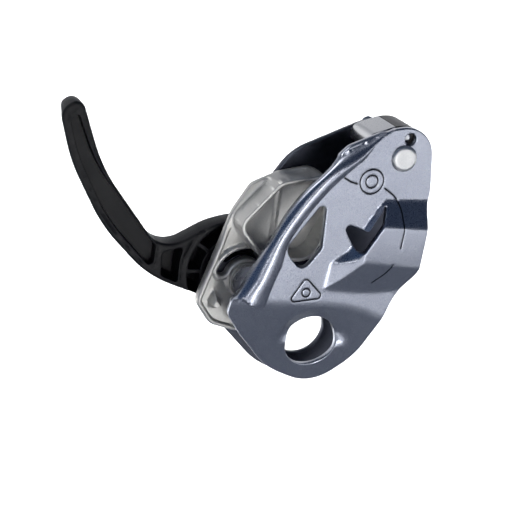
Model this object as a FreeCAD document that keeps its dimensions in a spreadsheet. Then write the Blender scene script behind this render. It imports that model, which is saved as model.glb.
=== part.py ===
"""Assisted-braking belay device, millimetres.

X runs to the right and Z up as the device hangs from its attachment hole.
Y runs from the moving side plate to the fixed side plate.  The origin is on
the axis of the attachment hole, halfway between the two plates.
"""

import FreeCAD, Part
import math
import os

from FreeCAD import Placement, Rotation, Vector

doc = FreeCAD.newDocument("belay_device")

# --------------------------------------------------------------- dimensions
SIZES = {
    "sheet": 2.5,            # thickness of both side plates
    "gap": 14.4,             # free width between the side plates
    "eye_radius": 9.5,       # attachment hole
    "pivot_x": 30.7,         # rivet that the moving side plate swings on
    "pivot_z": 65.3,
    "pivot_radius": 3.0,
    "rivet_head_radius": 4.75,
    "rivet_dome": 1.5,
    "detent_x": 33.0,
    "detent_z": 71.6,
    "detent_radius": 1.25,
    "detent_hole_radius": 2.0,
    "axle_x": -21.5,         # axle of the cam and of the handle
    "axle_z": 23.8,
    "axle_radius": 4.0,
    "cam_arm": 2.6,          # thickness of the cam's back arm
    "cam_wall": 1.6,
    "plate_clearance": 0.4,  # each moving part clears the fixed plate by this
    "handle_depth": 10.0,
    "handle_wall": 2.2,
    "drive_pin_radius": 1.4,
    "drive_pin_length": 10.2,
    "washer": 0.35,
    "running_gap": 0.05,     # radial play of each turning fit
    "bush_wall": 1.0,
    "lip_centre_x": 62.2,    # the rolled lip is an arc about this point
    "lip_centre_z": -7.7,
    "lip_inner": 87.0,
    "lip_outer": 95.2,
    "lip_rise": 4.0,
    "bulge_rise": 5.0,
    "fold_height": 16.0,     # the eye end of the moving plate bends back below
    "fold_slope": -0.18,
    "eye_slope": 0.28,
}

sheet = doc.addObject("Spreadsheet::Sheet", "sizes")
for row, (alias, value) in enumerate(SIZES.items(), start=1):
    sheet.set("A%d" % row, alias)
    sheet.set("B%d" % row, str(value))
    sheet.setAlias("B%d" % row, alias)
doc.recompute()


def size(alias):
    return float(getattr(sheet, alias))


HALF = size("gap") / 2
OUTER = HALF + size("sheet")
PIVOT = (size("pivot_x"), size("pivot_z"))
DETENT = (size("detent_x"), size("detent_z"))
AXLE = (size("axle_x"), size("axle_z"))
ARM_BACK = HALF - size("plate_clearance")
ARM_FRONT = ARM_BACK - size("cam_arm")
HANDLE_FRONT = OUTER + size("plate_clearance")
HANDLE_BACK = HANDLE_FRONT + size("handle_depth")
PAST = 1.0                   # how far a cutting shape runs past the faces it opens
nodes = []


# ------------------------------------------------------------------ helpers
def keep(obj, label):
    """Name an object as one sub-part of the device."""
    obj.Label = label
    nodes.append(obj)
    return obj


def outline_edges(corners):
    """Lines and tangent arcs round (x, z, corner radius) points, in a sketch's own plane."""
    points = [Vector(x, z, 0) for x, z, _ in corners]
    trims = []
    for i, (_, _, radius) in enumerate(corners):
        here = points[i]
        back = (points[i - 1] - here).normalize()
        ahead = (points[(i + 1) % len(points)] - here).normalize()
        half_turn = back.getAngle(ahead) / 2
        reach = radius / math.tan(half_turn)
        middle = (back + ahead).normalize() * (radius / math.sin(half_turn) - radius)
        trims.append((here + back * reach, here + middle, here + ahead * reach))
    edges = []
    for i, (start, middle, end) in enumerate(trims):
        if (end - start).Length > 1e-6:
            edges.append(Part.Arc(start, middle, end))
        following = trims[(i + 1) % len(trims)][0]
        if (following - end).Length > 1e-6:
            edges.append(Part.LineSegment(end, following))
    return edges


def circle_edge(centre, radius):
    return Part.Circle(Vector(centre[0], centre[1], 0), Vector(0, 0, 1), radius)


def flat_body(name, geometry, back, thickness):
    """A PartDesign body: one sketch in the XZ plane, padded forward from y = back."""
    body = doc.addObject("PartDesign::Body", name)
    add_pad(body, geometry, back, thickness)
    return body


def add_pad(body, geometry, back, thickness):
    """Pad a sketch whose plane is at y = back towards the front by a sheet expression."""
    sketch = body.newObject("Sketcher::SketchObject", body.Name + "_sketch")
    planes = [f for f in body.Origin.OriginFeatures if f.Role == "XZ_Plane"]
    sketch.AttachmentSupport = [(planes[0], "")]
    sketch.MapMode = "FlatFace"
    sketch.AttachmentOffset = Placement(Vector(0, 0, -back), Rotation())
    for edge in geometry:
        sketch.addGeometry(edge, False)
    pad = body.newObject("PartDesign::Pad", body.Name + "_pad")
    pad.Profile = sketch
    pad.setExpression("Length", thickness)
    sketch.Visibility = False
    body.Tip = pad
    doc.recompute()
    return pad


def turned(name, centre, start, length, radius, end_radius=None):
    """A cylinder or cone along +Y from y = start; length and radius are sheet expressions."""
    kind = "Part::Cylinder" if end_radius is None else "Part::Cone"
    obj = doc.addObject(kind, name)
    obj.setExpression("Height", length)
    if end_radius is None:
        obj.setExpression("Radius", radius)
    else:
        obj.setExpression("Radius1", radius)
        obj.setExpression("Radius2", end_radius)
    obj.Placement = Placement(Vector(centre[0], start, centre[1]), Rotation(Vector(1, 0, 0), -90))
    return obj


def cut(name, base, tool):
    obj = doc.addObject("Part::Cut", name)
    obj.Base = base
    obj.Tool = tool
    return obj


def ring(name, centre, start, length, outer, inner):
    """A washer, bush or collar."""
    blank = turned(name + "_blank", centre, start, length, outer)
    bore = turned(name + "_bore", centre, start, length, inner)
    return cut(name, blank, bore)


def prism(corners, back, front):
    """A plain solid with a rounded outline between two y planes."""
    wire = Part.Wire([e.toShape() for e in outline_edges(corners)])
    face = Part.Face(wire)
    face.rotate(Vector(0, 0, 0), Vector(1, 0, 0), 90)
    face.translate(Vector(0, back, 0))
    return face.extrude(Vector(0, front - back, 0))


def y_cylinder(centre, radius, start, end):
    return Part.makeCylinder(radius, end - start, Vector(centre[0], start, centre[1]), Vector(0, 1, 0))


def coil(centre, radius, wire, turns, start):
    """A close-wound spring about a Y axis: touching turns of flat-sided wire, one solid."""
    pitch = wire * 0.95
    outer = []
    inner = []
    for turn in range(turns):
        low = start + turn * pitch
        for along, swell in ((0.0, 0.2), (0.3, 0.5), (0.7, 0.5), (1.0, 0.2)):
            outer.append(Vector(radius + wire * swell, low + along * pitch, 0))
            inner.append(Vector(radius - wire * swell, low + along * pitch, 0))
    corners = []
    for corner in outer + inner[::-1]:
        if not corners or (corner - corners[-1]).Length > 1e-6:
            corners.append(corner)
    section = Part.Face(Part.makePolygon(corners + corners[:1]))
    spring = section.revolve(Vector(0, 0, 0), Vector(0, 1, 0), 360)
    spring.translate(Vector(centre[0], 0, centre[1]))
    return spring


def feature(name, shape):
    obj = doc.addObject("Part::Feature", name)
    obj.Shape = shape
    return obj


# -------------------------------------------------------- moving side plate
PLATE_OUTLINE = [
    (-32.0, 18.5, 2.0), (-27.0, 8.0, 20.0), (-16.0, -8.5, 30.0), (2.0, -19.5, 14.0),
    (17.0, -8.5, 25.0), (28.5, 14.0, 20.0), (36.0, 23.5, 12.0), (39.6, 46.0, 15.0),
    (41.4, 52.0, 20.0), (41.4, 76.0, 10.4), (25.0, 75.6, 20.0), (11.0, 71.5, 6.0),
    (-9.5, 55.0, 60.0), (-23.5, 33.0, 60.0),
]
LEFT_WINDOW = [
    (-11.8, 37.5, 4.0), (-5.5, 29.0, 3.0), (1.6, 36.5, 3.0), (3.4, 54.5, 1.5),
]
RIGHT_WINDOW = [
    (17.8, 40.8, 1.0), (26.2, 52.8, 0.5), (22.4, 43.6, 1.0), (14.4, 33.0, 1.5), (8.6, 45.2, 1.5),
]
BULGE_FOOT = [(26.0, 51.2), (60.0, 48.0), (60.0, 14.5), (17.0, 19.2), (4.0, 24.0), (9.0, 37.0)]
LIP_ANGLES = (118.0, 161.5)
BULGE_FACE = [(22.6, 43.6), (60.0, 38.5), (60.0, 22.0), (17.5, 30.0), (14.5, 32.5), (16.0, 35.0)]


def bulge_solid(offset):
    """The raised channel of the plate, as a filled shape moved back by offset."""
    foot = -OUTER + offset
    face = foot - size("bulge_rise")
    lower = Part.makePolygon([Vector(x, foot, z) for x, z in BULGE_FOOT + BULGE_FOOT[:1]])
    upper = Part.makePolygon([Vector(x, face, z) for x, z in BULGE_FACE + BULGE_FACE[:1]])
    return Part.makeLoft([lower, upper], True, True)


def lip_solid(thinner, back):
    """The rolled lip as a filled arc section swept about the lip's centre."""
    middle = (size("lip_inner") + size("lip_outer")) / 2
    half_width = (size("lip_outer") - size("lip_inner")) / 2 - thinner
    rise = size("lip_rise") - thinner
    crest = Vector(middle, -OUTER - rise, 0)
    left = Vector(middle - half_width, -OUTER, 0)
    right = Vector(middle + half_width, -OUTER, 0)
    edges = [
        Part.Arc(left, crest, right).toShape(),
        Part.makeLine(right, right + Vector(0, back, 0)),
        Part.makeLine(right + Vector(0, back, 0), left + Vector(0, back, 0)),
        Part.makeLine(left + Vector(0, back, 0), left),
    ]
    face = Part.Face(Part.Wire(edges))
    solid = face.revolve(Vector(0, 0, 0), Vector(0, 1, 0), LIP_ANGLES[0] - LIP_ANGLES[1])
    solid.rotate(Vector(0, 0, 0), Vector(0, 1, 0), -LIP_ANGLES[0])
    solid.translate(Vector(size("lip_centre_x"), 0, size("lip_centre_z")))
    return solid


def folded_sheet():
    """The plate's sheet before trimming: flat above the fold, sloping back below it."""
    across = math.atan(size("fold_slope"))
    reach = 150.0            # well past the plate's outline
    slope = size("eye_slope") * reach
    front = -OUTER
    back = -HALF
    section = [(reach, front), (0, front), (-reach, front + slope), (-reach, back + slope),
               (0, back), (reach, back)]
    points = [Vector(-reach, y, n) for n, y in section]
    face = Part.Face(Part.makePolygon(points + points[:1]))
    solid = face.extrude(Vector(2 * reach, 0, 0))
    solid.rotate(Vector(0, 0, 0), Vector(0, 1, 0), -math.degrees(across))
    solid.translate(Vector(0, 0, size("fold_height")))
    return solid


def moving_side_plate():
    front = -OUTER - 2 * size("bulge_rise")
    back = HALF
    form = folded_sheet().fuse([bulge_solid(0), lip_solid(0, size("sheet"))])
    form = form.cut([bulge_solid(size("sheet")), lip_solid(size("sheet"), size("sheet") + PAST)])
    form = form.common(prism(PLATE_OUTLINE, back, front))
    clear_pivot = size("pivot_radius") + size("running_gap")
    openings = [
        prism(LEFT_WINDOW, back, front),
        prism(RIGHT_WINDOW, back, front),
        y_cylinder((0, 0), size("eye_radius"), front, back),
        y_cylinder(PIVOT, clear_pivot, front, back),
        y_cylinder(DETENT, size("detent_hole_radius"), front, back),
    ]
    return form.cut(openings).removeSplitter()


# --------------------------------------------------------- fixed side plate
FIXED_OUTLINE = [
    (-33.0, 28.5, 8.0), (-30.5, 8.0, 14.0), (-17.0, -10.0, 30.0), (1.0, -21.0, 14.0),
    (18.0, -9.0, 25.0), (28.5, 10.0, 30.0), (38.0, 26.0, 30.0), (41.6, 48.0, 30.0),
    (41.6, 76.0, 10.4), (23.0, 74.4, 30.0), (-3.0, 66.5, 20.0), (-16.0, 51.0, 20.0),
]
DRIVE_RADIUS = 9.0
DRIVE_SLOT_WIDTH = 3.2
DRIVE_REST = 40.0
HANDLE_SWEEP = (-101.0, 87.0)
CAM_SWEEP = (-27.0, 1.0)


def drive_slot(back, front, sweep_from, sweep_to):
    """An arc slot that the handle's drive pin runs in."""
    inner = DRIVE_RADIUS - DRIVE_SLOT_WIDTH / 2
    outer = DRIVE_RADIUS + DRIVE_SLOT_WIDTH / 2
    start = DRIVE_REST + sweep_from
    sweep = sweep_to - sweep_from
    section = Part.makePlane(outer - inner, back - front, Vector(inner, front, 0), Vector(0, 0, 1))
    arc = section.revolve(Vector(0, 0, 0), Vector(0, 1, 0), -sweep)
    ends = [y_cylinder((DRIVE_RADIUS, 0), DRIVE_SLOT_WIDTH / 2, front, back) for _ in range(2)]
    ends[1].rotate(Vector(0, 0, 0), Vector(0, 1, 0), -sweep)
    slot = arc.fuse(ends)
    slot.rotate(Vector(0, 0, 0), Vector(0, 1, 0), -start)
    slot.translate(Vector(AXLE[0], 0, AXLE[1]))
    return slot


def polar(centre, radius, degrees):
    """The (x, z) point at an angle from +X towards +Z."""
    turn = math.radians(degrees)
    return (centre[0] + radius * math.cos(turn), centre[1] + radius * math.sin(turn))


FRICTION_PINS = [(21.0, 70.4), (25.6, 72.9)]
FRICTION_PIN_RADIUS = 1.25
FRICTION_PIN_GRIP = 6.0
COUNTERSINK = 1.2
PLUNGER_DROP = 0.1
PLUNGER_LENGTH = 5.0
PLUNGER_ROUND = 0.5


def fixed_side_plate():
    blank = flat_body("fixed_plate_blank", outline_edges(FIXED_OUTLINE) + [
        circle_edge((0, 0), size("eye_radius")),
        circle_edge(PIVOT, size("pivot_radius")),
        circle_edge(AXLE, size("axle_radius")),
    ], OUTER, "sizes.sheet")
    slot = feature("fixed_plate_slot", drive_slot(OUTER + PAST, HALF - PAST, *HANDLE_SWEEP))
    return cut("fixed_plate_slotted", blank, slot)


# -------------------------------------------------- pivot end of the device
SPACER_OUTLINE = [
    (26.0, 54.0, 0.4), (40.6, 54.0, 6.0), (41.0, 75.7, 10.4), (28.6, 75.9, 0.2), (26.3, 66.9, 0.2),
]
FRICTION_OUTLINE = [
    (18.4, 67.3, 3.2), (23.4, 67.1, 1.6), (23.2, 54.2, 1.2), (26.0, 54.0, 0.4), (26.3, 66.9, 0.2),
    (28.6, 75.9, 0.2), (18.8, 73.9, 3.2),
]


def pivot_spacer():
    body = flat_body("spacer_blank", outline_edges(SPACER_OUTLINE) + [
        circle_edge(PIVOT, size("pivot_radius")),
    ], HALF, "sizes.gap - sizes.plate_clearance")
    well = turned("detent_well", DETENT, -HALF, "10", "sizes.detent_radius + sizes.running_gap")
    return cut("pivot_spacer_drilled", body, well)


def friction_plate():
    return flat_body("friction_blank", outline_edges(FRICTION_OUTLINE), HALF,
                     "sizes.gap - sizes.plate_clearance")


def sunk_tail(place, radius):
    """The flush tail of a rivet, spread into a countersink in the back of the fixed plate."""
    foot = Vector(place[0], OUTER - COUNTERSINK, place[1])
    return Part.makeCone(radius, radius + COUNTERSINK, COUNTERSINK, foot, Vector(0, 1, 0))


def pivot_rivet():
    """Domed head, shank through both plates and a flat head behind."""
    head_radius = size("rivet_head_radius")
    rise = size("rivet_dome")
    sphere_radius = (head_radius ** 2 + rise ** 2) / (2 * rise)
    crown = Part.makeSphere(sphere_radius, Vector(PIVOT[0], -OUTER - rise + sphere_radius, PIVOT[1]))
    head = crown.common(y_cylinder(PIVOT, head_radius, -OUTER - rise, -OUTER))
    shank = y_cylinder(PIVOT, size("pivot_radius"), -OUTER, OUTER)
    return feature("pivot_rivet", head.fuse([shank, sunk_tail(PIVOT, size("pivot_radius"))]).removeSplitter())


def detent_plunger():
    """A rod whose rounded tip stands level with the inside of the moving plate."""
    start = -HALF + PLUNGER_DROP
    rod = y_cylinder(DETENT, size("detent_radius"), start, start + PLUNGER_LENGTH)
    tip = min((e for e in rod.Edges if e.Closed), key=lambda e: e.CenterOfMass.y)
    return feature("detent_plunger", rod.makeFillet(PLUNGER_ROUND, [tip]))


# ------------------------------------------------------------------ the cam
CAM_ARM = [
    (-39.4, 17.5, 4.5), (-34.5, 8.5, 6.0), (-23.0, 3.4, 9.0), (-9.5, 9.5, 10.0),
    (-3.0, 28.0, 14.0), (9.0, 44.0, 12.0), (8.0, 62.0, 8.0), (-9.0, 60.6, 12.0),
    (-18.6, 57.5, 2.0), (-25.5, 48.6, 8.0),
]
CAM_BOX = [
    (-26.8, 46.2, 5.0), (-17.6, 32.6, 4.0), (0.0, 30.0, 8.0), (9.5, 45.0, 10.0),
    (7.0, 61.2, 6.0), (-11.2, 60.2, 6.0),
]
BOX_FRONT = -HALF + 2.3
BOX_RIB = (-12.5, 33.0, 26.0)
BOX_RIB_HEIGHT = 4.0
LUG = (-31.0, 19.5)
LUG_HEIGHT = 4.6
LUG_RADII = (4.4, 2.4)
HUB_RADIUS = 6.4
HUB_FRONT = 1.6
SPRING_WELL_RADIUS = 6.9
SPRING_WELL_DEPTH = 1.5


def inset(corners, amount):
    """The same rounded outline, moved inwards."""
    wire = Part.Wire([e.toShape() for e in outline_edges(corners)])
    return wire.makeOffset2D(-amount)


def cam():
    """Back arm, cupped rope guide, axle hub and rope lug, cast in one piece."""
    arm = prism(CAM_ARM, ARM_BACK, ARM_FRONT)
    box = prism(CAM_BOX, ARM_BACK, BOX_FRONT)
    pocket_face = Part.Face(inset(CAM_BOX, size("cam_wall")))
    pocket_face.rotate(Vector(0, 0, 0), Vector(1, 0, 0), 90)
    pocket_face.translate(Vector(0, ARM_FRONT, 0))
    pocket = pocket_face.extrude(Vector(0, BOX_FRONT - PAST - ARM_FRONT, 0))
    rib = Part.makeBox(size("cam_wall"), BOX_RIB_HEIGHT, BOX_RIB[2],
                       Vector(BOX_RIB[0], ARM_FRONT - BOX_RIB_HEIGHT, BOX_RIB[1]))
    rib = rib.common(prism(CAM_BOX, ARM_BACK, BOX_FRONT))
    hub = y_cylinder(AXLE, HUB_RADIUS, HUB_FRONT, ARM_BACK)
    lug = Part.makeCone(*LUG_RADII, LUG_HEIGHT, Vector(LUG[0], ARM_FRONT, LUG[1]), Vector(0, -1, 0))
    solid = arm.fuse([box]).cut(pocket).fuse([rib, hub, lug])
    bore = size("axle_radius") + size("running_gap") + size("bush_wall")
    well = y_cylinder(AXLE, SPRING_WELL_RADIUS, ARM_BACK - SPRING_WELL_DEPTH, ARM_BACK + PAST)
    slot = drive_slot(ARM_BACK + PAST, ARM_FRONT - PAST,
                      HANDLE_SWEEP[0] - CAM_SWEEP[1], HANDLE_SWEEP[1] - CAM_SWEEP[0])
    solid = solid.cut([y_cylinder(AXLE, bore, HUB_FRONT - PAST, ARM_BACK + PAST), well, slot])
    return feature("cam", solid.removeSplitter())


FLANGE = 0.8                 # thickness of the axle's flange, and of the gap it keeps
FLANGE_LIP = 1.4             # how far flange and snap ring stand out from the axle
DISH_RADIUS = 4.2
DISH_DEPTH = 0.9
SNAP_GROOVE = 0.8
SNAP_RING = 0.7


def cam_axle():
    """Shouldered axle: dished end, journal, press fit in the fixed plate, handle journal."""
    radius = size("axle_radius")
    shoulder = HUB_FRONT - 0.3
    end = HANDLE_BACK + 0.2
    journal = y_cylinder(AXLE, radius, shoulder, end)
    flange = y_cylinder(AXLE, radius + FLANGE_LIP, shoulder - FLANGE, shoulder)
    dish_centre = shoulder - FLANGE + DISH_DEPTH - DISH_RADIUS
    dish = Part.makeSphere(DISH_RADIUS, Vector(AXLE[0], dish_centre, AXLE[1]))
    groove_start = HANDLE_BACK - 1.4
    groove = ring_solid(radius - SNAP_GROOVE, radius + PAST, groove_start, groove_start + SNAP_GROOVE)
    return feature("cam_axle", journal.fuse(flange).cut([dish, groove]).removeSplitter())


def ring_solid(inner, outer, front, back):
    """A ring about the axle between two y planes."""
    return y_cylinder(AXLE, outer, front, back).cut(y_cylinder(AXLE, inner, front, back))


# --------------------------------------------------------------- the handle
HANDLE_OUTLINE = [
    (-73.6, 92.2, 3.6), (-80.6, 88.0, 4.4), (-78.2, 70.0, 60.0), (-69.0, 46.5, 60.0),
    (-54.0, 26.5, 40.0), (-33.5, 15.5, 20.0), (-22.0, 6.4, 14.0), (-2.0, 8.0, 15.0),
    (-3.0, 43.6, 15.0), (-30.0, 42.4, 30.0), (-49.0, 34.6, 10.0), (-67.8, 66.5, 60.0),
]
LONG_POCKET = [
    (-74.9, 85.8, 1.0), (-77.4, 83.6, 1.4), (-75.6, 72.0, 60.0), (-66.8, 48.5, 60.0),
    (-52.4, 28.8, 1.4), (-51.0, 37.2, 1.4), (-69.8, 67.5, 60.0),
]
SHORT_POCKET = [
    (-49.4, 26.2, 1.2), (-43.6, 22.6, 0.8), (-43.0, 30.0, 30.0), (-41.2, 35.4, 0.8), (-48.6, 34.4, 1.2),
]
BACK_ROUND = 3.2
BOSS_RADIUS = 11.0
INNER_RING = (12.4, 14.2)
OUTER_RING = (18.6, 20.8)
HUB_RIB_ANGLES = (100.0, 140.0, 172.0, 204.0, 250.0, 310.0, 20.0, 60.0)
HUB_RIB = 1.4
RIB_DROP = 0.8               # hub ribs stop this far below the rim
POCKET_DEPTH = 7.6
GRIP_FLOOR = 3.4
SPRING_RECESS = (6.1, 8.8)
SPRING_RECESS_DEPTH = 3.2
BUSH_LENGTH = 8.5
PIN_DROP = 0.6               # the drive pin stops this far inside the cam's arm


def handle():
    """Moulded release lever with ribbed pockets that open towards the plates."""
    floor = HANDLE_FRONT + POCKET_DEPTH
    lever = prism(HANDLE_OUTLINE, HANDLE_BACK, HANDLE_FRONT)
    back_rim = [e for e in lever.Edges if e.BoundBox.YMin > HANDLE_BACK - 0.1]
    lever = lever.makeFillet(BACK_ROUND, back_rim).Solids[0]
    inside_face = Part.Face(inset(HANDLE_OUTLINE, size("handle_wall")))
    inside_face.rotate(Vector(0, 0, 0), Vector(1, 0, 0), 90)
    inside_face.translate(Vector(0, floor, 0))
    opening = HANDLE_FRONT - PAST
    inside = inside_face.extrude(Vector(0, opening - floor, 0))
    ribs = []
    for angle in HUB_RIB_ANGLES:
        rib = Part.makeBox(OUTER_RING[0], POCKET_DEPTH + PAST, HUB_RIB,
                           Vector(0, HANDLE_FRONT + RIB_DROP, -HUB_RIB / 2))
        rib.rotate(Vector(0, 0, 0), Vector(0, 1, 0), -angle)
        rib.translate(Vector(AXLE[0], 0, AXLE[1]))
        ribs.append(rib)
    pockets = [
        ring_solid(INNER_RING[1], OUTER_RING[0], opening, floor).common(inside).cut(ribs),
        ring_solid(BOSS_RADIUS, INNER_RING[0], opening, floor).common(inside).cut(ribs),
        prism(SHORT_POCKET, floor, opening),
        prism(LONG_POCKET, HANDLE_FRONT + GRIP_FLOOR, opening),
    ]
    bore = size("axle_radius") + size("running_gap") + size("bush_wall")
    recess_front = HANDLE_BACK - SPRING_RECESS_DEPTH
    pin_place = polar(AXLE, DRIVE_RADIUS, DRIVE_REST)
    pin_end = ARM_FRONT + PIN_DROP + size("drive_pin_length")
    tools = pockets + [
        y_cylinder(AXLE, bore, opening, HANDLE_BACK + PAST),
        y_cylinder(AXLE, SPRING_RECESS[1], recess_front, HANDLE_BACK + PAST).cut(
            y_cylinder(AXLE, SPRING_RECESS[0], recess_front, HANDLE_FRONT + BUSH_LENGTH)),
        y_cylinder(pin_place, size("drive_pin_radius"), opening, pin_end),
    ]
    return feature("handle", lever.cut(tools).removeSplitter())


def drive_pin():
    """Pressed into the handle's boss; its end runs in the arc slots of plate and cam."""
    place = polar(AXLE, DRIVE_RADIUS, DRIVE_REST)
    return turned("drive_pin", place, ARM_FRONT + PIN_DROP, "sizes.drive_pin_length",
                  "sizes.drive_pin_radius")


CAP_RADIUS = 9.8
CAP_HEIGHT = 2.4
CAP_WALL = 1.0
RING_MOUTH = 2.6


def hub_cap():
    """Shallow dished cover over the axle's end and the handle's spring."""
    top = HANDLE_BACK + CAP_HEIGHT
    outer = y_cylinder(AXLE, CAP_RADIUS, HANDLE_BACK, top)
    outer = outer.makeFillet(CAP_WALL, [e for e in outer.Edges if e.BoundBox.YMin > top - 0.1])
    hollow = y_cylinder(AXLE, CAP_RADIUS - CAP_WALL, HANDLE_BACK, top - CAP_WALL)
    return feature("hub_cap", outer.cut(hollow))


def retaining_ring():
    """Open snap ring in the axle's groove."""
    start = HANDLE_BACK - 1.35
    radius = size("axle_radius")
    blank = ring_solid(radius - SNAP_RING, radius + FLANGE_LIP, start, start + SNAP_RING)
    corner = Vector(AXLE[0] - RING_MOUTH / 2, start - PAST, AXLE[1])
    mouth = Part.makeBox(RING_MOUTH, SNAP_RING + 2 * PAST, 2 * radius, corner)
    return feature("retaining_ring", blank.cut(mouth))


def group(name, shapes):
    """Several identical solids in one node."""
    return feature(name, Part.makeCompound(shapes))


def cam_bush():
    """Sleeve pressed into the cam, running on the axle."""
    return ring("cam_bush", AXLE, HUB_FRONT, "sizes.gap / 2 - sizes.plate_clearance - %g" % HUB_FRONT,
                "sizes.axle_radius + sizes.running_gap + sizes.bush_wall",
                "sizes.axle_radius + sizes.running_gap")


def handle_bush():
    return ring("handle_bush", AXLE, HANDLE_FRONT, "%g" % BUSH_LENGTH,
                "sizes.axle_radius + sizes.running_gap + sizes.bush_wall",
                "sizes.axle_radius + sizes.running_gap")


def axle_washer(name, start, outer):
    """A thin washer that fills the clearance beside the fixed plate."""
    return ring(name, AXLE, start + 0.05, "sizes.plate_clearance - 0.1", outer,
                "sizes.axle_radius + sizes.running_gap")


def cam_spring():
    """Return spring of the cam: two turns in the well behind its hub."""
    return feature("cam_spring", coil(AXLE, 6.0, 0.6, 2, ARM_BACK - SPRING_WELL_DEPTH + 0.1))


def handle_spring():
    """Return spring of the handle, under the hub cap."""
    return feature("handle_spring", coil(AXLE, 7.45, 1.0, 3, HANDLE_BACK - 3.0))


def detent_spring():
    return feature("detent_spring", coil(DETENT, 0.95, 0.4, 12, -HALF + 5.1))


def friction_pins():
    """Two flush pins that hold the friction plate to the fixed plate."""
    pins = []
    for place in FRICTION_PINS:
        shank = y_cylinder(place, FRICTION_PIN_RADIUS, HALF - FRICTION_PIN_GRIP, OUTER)
        pins.append(shank.fuse(sunk_tail(place, FRICTION_PIN_RADIUS)).removeSplitter())
    return group("friction_pins", pins)


def drilled(name, base, tools):
    """A sub-part with holes cut by plain shapes."""
    holes = feature(name + "_holes", Part.makeCompound(tools))
    return cut(name, base, holes)


def fixed_plate_drilled():
    tools = [sunk_tail(PIVOT, size("pivot_radius"))]
    for place in FRICTION_PINS:
        bore = y_cylinder(place, FRICTION_PIN_RADIUS, HALF - PAST, OUTER)
        tools.append(bore.fuse(sunk_tail(place, FRICTION_PIN_RADIUS)))
    return drilled("fixed_plate_drilled", fixed_side_plate(), tools)


def friction_plate_drilled():
    tools = [y_cylinder(place, FRICTION_PIN_RADIUS, HALF - FRICTION_PIN_GRIP, HALF + PAST)
             for place in FRICTION_PINS]
    return drilled("friction_plate_drilled", friction_plate(), tools)


# ----------------------------------------------------------------- assembly
keep(feature("moving_side_plate", moving_side_plate()), "moving_side_plate")
keep(fixed_plate_drilled(), "fixed_side_plate")
keep(pivot_rivet(), "pivot_rivet")
keep(ring("washer", PIVOT, -HALF, "sizes.washer", "5.0", "sizes.pivot_radius + sizes.running_gap"),
     "pivot_washer")
keep(pivot_spacer(), "pivot_spacer")
keep(friction_plate_drilled(), "friction_plate")
keep(friction_pins(), "friction_plate_pins")
keep(detent_plunger(), "detent_plunger")
keep(detent_spring(), "detent_spring")
keep(cam(), "cam")
keep(cam_bush(), "cam_bush")
keep(axle_washer("cam_washer", ARM_BACK, "6.6"), "cam_washer")
keep(cam_spring(), "cam_return_spring")
keep(cam_axle(), "cam_axle")
keep(handle(), "handle")
keep(handle_bush(), "handle_bush")
keep(axle_washer("handle_washer", OUTER, "6.8"), "handle_washer")
keep(drive_pin(), "handle_drive_pin")
keep(handle_spring(), "handle_return_spring")
keep(retaining_ring(), "axle_retaining_ring")
keep(hub_cap(), "handle_hub_cap")
doc.recompute()


# ------------------------------------------------------------ check and save
def check_document():
    for obj in doc.Objects:
        if "Invalid" in obj.State or "Error" in obj.State:
            raise RuntimeError("%s failed: %s" % (obj.Name, obj.State))
    for node in nodes:
        if node.Shape.isNull() or not node.Shape.isValid():
            raise RuntimeError("%s has no valid shape" % node.Label)


check_document()
os.makedirs("parts", exist_ok=True)
for node in nodes:
    node.Shape.exportStep("parts/%s.step" % node.Label)
    print(node.Label, len(node.Shape.Solids), round(node.Shape.Volume, 1))
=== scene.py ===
"""Finished look of the belay device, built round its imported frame.  Metres, +Z up."""
import bpy, bmesh
import math
import numpy as np
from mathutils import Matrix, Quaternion, Vector
from mathutils.geometry import delaunay_2d_cdt


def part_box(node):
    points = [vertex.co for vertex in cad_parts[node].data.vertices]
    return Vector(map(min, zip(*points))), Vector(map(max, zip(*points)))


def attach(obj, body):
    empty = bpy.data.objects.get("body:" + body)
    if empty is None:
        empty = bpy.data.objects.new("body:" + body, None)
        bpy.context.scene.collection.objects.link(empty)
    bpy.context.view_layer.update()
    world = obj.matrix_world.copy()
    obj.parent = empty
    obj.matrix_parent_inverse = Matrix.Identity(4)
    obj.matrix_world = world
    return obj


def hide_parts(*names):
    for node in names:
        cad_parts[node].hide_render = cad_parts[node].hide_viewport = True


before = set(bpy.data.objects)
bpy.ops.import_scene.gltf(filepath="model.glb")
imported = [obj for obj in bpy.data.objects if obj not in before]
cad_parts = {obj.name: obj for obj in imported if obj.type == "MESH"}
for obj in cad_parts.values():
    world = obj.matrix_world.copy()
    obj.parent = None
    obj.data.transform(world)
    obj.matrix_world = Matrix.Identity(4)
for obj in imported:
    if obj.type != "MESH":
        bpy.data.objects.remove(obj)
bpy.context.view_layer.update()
MM = 0.001

# ------------------------------------------------------------ frame measures
plate_low, plate_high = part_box("fixed_side_plate")
SHEET = (plate_high.y - plate_low.y) / MM
FRONT = -plate_high.y / MM                    # front face of the moving plate


def middle_of(node):
    """The (x, z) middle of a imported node, in mm."""
    low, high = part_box(node)
    return ((low.x + high.x) / 2 / MM, (low.z + high.z) / 2 / MM)


AXLE = middle_of("cam_axle")
PIVOT = middle_of("pivot_rivet")
DETENT = middle_of("detent_plunger")


def from_axle(x, z):
    """Distance from the cam axle, in mm."""
    return np.hypot(x - AXLE[0], z - AXLE[1])


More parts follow.
